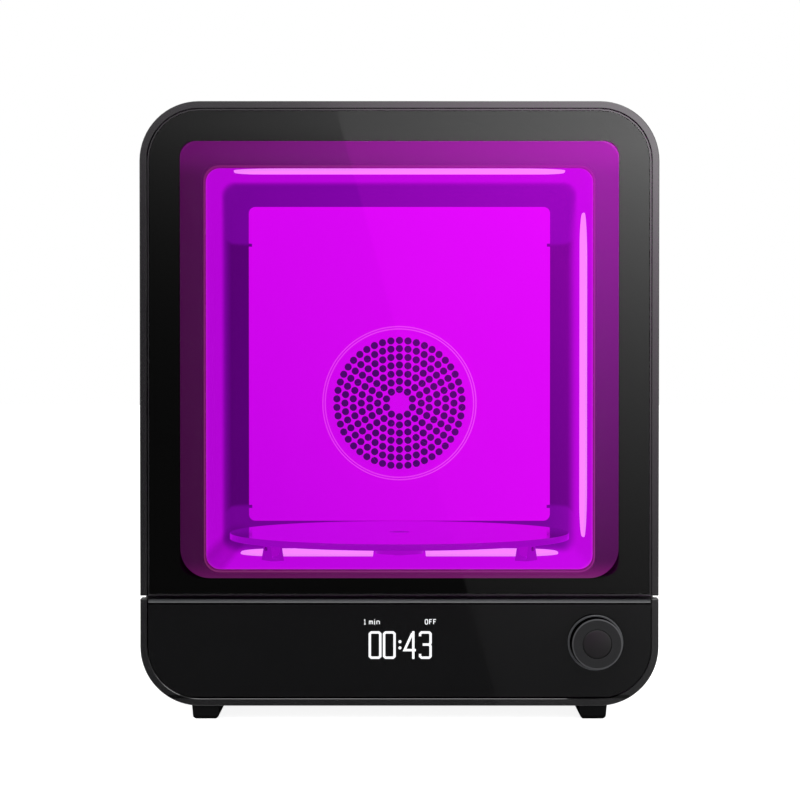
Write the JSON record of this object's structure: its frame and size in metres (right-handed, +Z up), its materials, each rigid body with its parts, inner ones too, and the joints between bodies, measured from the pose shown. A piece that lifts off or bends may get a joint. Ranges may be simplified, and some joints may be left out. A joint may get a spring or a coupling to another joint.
{
  "type": "dental lab light curing unit",
  "caption": "Bench-top light curing chamber with a swinging glass front door, a turntable, light bars, a perforated fan baffle and a control strip with a read-out and a push-turn knob.",
  "frame": {"origin": "centre of the footprint's bounding box, on the bench that the feet stand on", "axes": "+X to the right seen from the front, +Y from the door to the rear cover, +Z up"},
  "size_m": [0.28, 0.297, 0.3335],
  "materials": {
    "shell_black": "fine satin moulding",
    "frame_black": "polished black trim",
    "panel_black": "smoked dead-front panel",
    "door_glass": "clear, slightly tinted",
    "printed_black": "printed border",
    "inner_trim": "satin dark grey",
    "seal_rubber": "silicone gasket",
    "knob_grey": "satin dark grey",
    "cap_grey": "dished dark cap",
    "ring_metal": "thin bright ring",
    "liner_metal": "bright reflector sheet",
    "baffle_metal": "satin reflector sheet",
    "diffuser": "opal diffuser",
    "board_green": "circuit board",
    "board_white": "metal-core board",
    "sink_metal": "anodised extrusion",
    "sheet_steel": "powder coated sheet",
    "steel": "turned steel",
    "zinc": "zinc plated",
    "magnet": "nickel plated",
    "motor_steel": "plated can",
    "roller_plastic": "natural acetal",
    "inner_plastic": "moulded black",
    "foot_plastic": "moulded black",
    "sole_rubber": "rubber",
    "table_metal": "satin disc",
    "heater_metal": "heating element"
  },
  "bodies": {
    "cabinet": {"base_tub": "shell_black", "top_shell": "shell_black", "rear_cover": "shell_black", "base_bezel": "frame_black", "control_panel": "panel_black", "front_frame": "inner_trim", "knob_ring": "ring_metal", "chamber_liner": "liner_metal", "baffle_plate": "baffle_metal", "baffle_spacers": "zinc", "top_light_bar": "diffuser", "left_light_bar": "diffuser", "right_light_bar": "diffuser", "floor_light_bars": "diffuser", "top_led_board": "board_white", "side_led_boards": "board_white", "floor_led_boards": "board_white", "top_heat_sink": "sink_metal", "side_heat_sinks": "sink_metal", "fan_motor": "motor_steel", "heater_ring": "heater_metal", "turntable_motor": "motor_steel", "roller_brackets": "zinc", "roller_axles": "steel", "power_supply": "sheet_steel", "main_board": "board_green", "control_board": "board_green", "display_module": "inner_plastic", "encoder_body": "inner_plastic", "feet": "foot_plastic", "foot_pads": "sole_rubber", "deck_plate": "sheet_steel", "cover_screws": "zinc", "mains_inlet": "inner_plastic", "rocker_housing": "inner_plastic", "cooling_fan_frame": "inner_plastic", "door_magnets": "magnet", "hinge_brackets": "zinc", "interlock_switch": "inner_plastic"},
    "door": {"door_frame": "frame_black", "door_glass": "door_glass", "glass_mask": "printed_black", "door_inner_frame": "inner_trim", "door_seal": "seal_rubber", "hinge_pins": "steel", "strike_plates": "zinc"},
    "table": {"turntable": "table_metal", "drive_hub": "roller_plastic"},
    "idler_left": {"roller_left": "roller_plastic"},
    "idler_right": {"roller_right": "roller_plastic"},
    "idler_rear": {"roller_rear": "roller_plastic"},
    "push": {"encoder_plunger": "steel"},
    "dial": {"knob": "knob_grey", "knob_cap": "cap_grey", "encoder_shaft": "steel"},
    "blower": {"impeller": "sink_metal", "fan_shaft": "steel"},
    "cooler": {"cooling_fan_rotor": "inner_plastic"},
    "power_rocker": {"rocker": "knob_grey"},
    "door_pin": {"interlock_plunger": "roller_plastic"}
  },
  "joints": [
    {"name": "door_swing", "type": "hinge", "parent": "cabinet", "child": "door", "pos_m": [-0.135, -0.1255, 0.1895], "axis": [0, 0, -1], "range_deg": [0, 105]},
    {"name": "turntable_spin", "type": "hinge", "parent": "cabinet", "child": "table", "pos_m": [0, -0.0055, 0.0925], "axis": [0, 0, 1], "continuous": true},
    {"name": "roller_right_spin", "type": "hinge", "parent": "cabinet", "child": "idler_right", "pos_m": [0.07275, -0.0475, 0.08575], "axis": [0.866, -0.5, 0], "continuous": true},
    {"name": "roller_left_spin", "type": "hinge", "parent": "cabinet", "child": "idler_left", "pos_m": [-0.07275, -0.0475, 0.08575], "axis": [-0.866, -0.5, 0], "continuous": true},
    {"name": "roller_rear_spin", "type": "hinge", "parent": "cabinet", "child": "idler_rear", "pos_m": [0, 0.0785, 0.08575], "axis": [0, 1, 0], "continuous": true},
    {"name": "knob_push", "type": "slide", "parent": "cabinet", "child": "push", "axis": [0, 1, 0], "range_m": [0, 0.001], "stiffness_N_per_m": 1500, "springref_m": -0.001},
    {"name": "knob_turn", "type": "hinge", "parent": "push", "child": "dial", "pos_m": [0.1059, -0.1415, 0.0421], "axis": [0, 1, 0], "continuous": true},
    {"name": "blower_spin", "type": "hinge", "parent": "cabinet", "child": "blower", "pos_m": [0, 0.1045, 0.1668], "axis": [0, 1, 0], "continuous": true},
    {"name": "cooler_spin", "type": "hinge", "parent": "cabinet", "child": "cooler", "pos_m": [0, 0.1325, 0.252], "axis": [0, 1, 0], "continuous": true},
    {"name": "rocker_tilt", "type": "hinge", "parent": "cabinet", "child": "power_rocker", "pos_m": [-0.058, 0.14194, 0.036], "axis": [1, 0, 0], "range_deg": [0, 16]},
    {"name": "door_pin_slide", "type": "slide", "parent": "cabinet", "child": "door_pin", "axis": [0, -1, 0], "range_m": [0, 0.002]}
  ],
  "couplings": [
    {"joint": "roller_right_spin", "follows": "turntable_spin", "ratio": -18.667},
    {"joint": "roller_left_spin", "follows": "turntable_spin", "ratio": -18.667},
    {"joint": "roller_rear_spin", "follows": "turntable_spin", "ratio": -18.667},
    {"joint": "door_pin_slide", "follows": "door_swing", "m_per_rad": 0.00109}
  ]
}
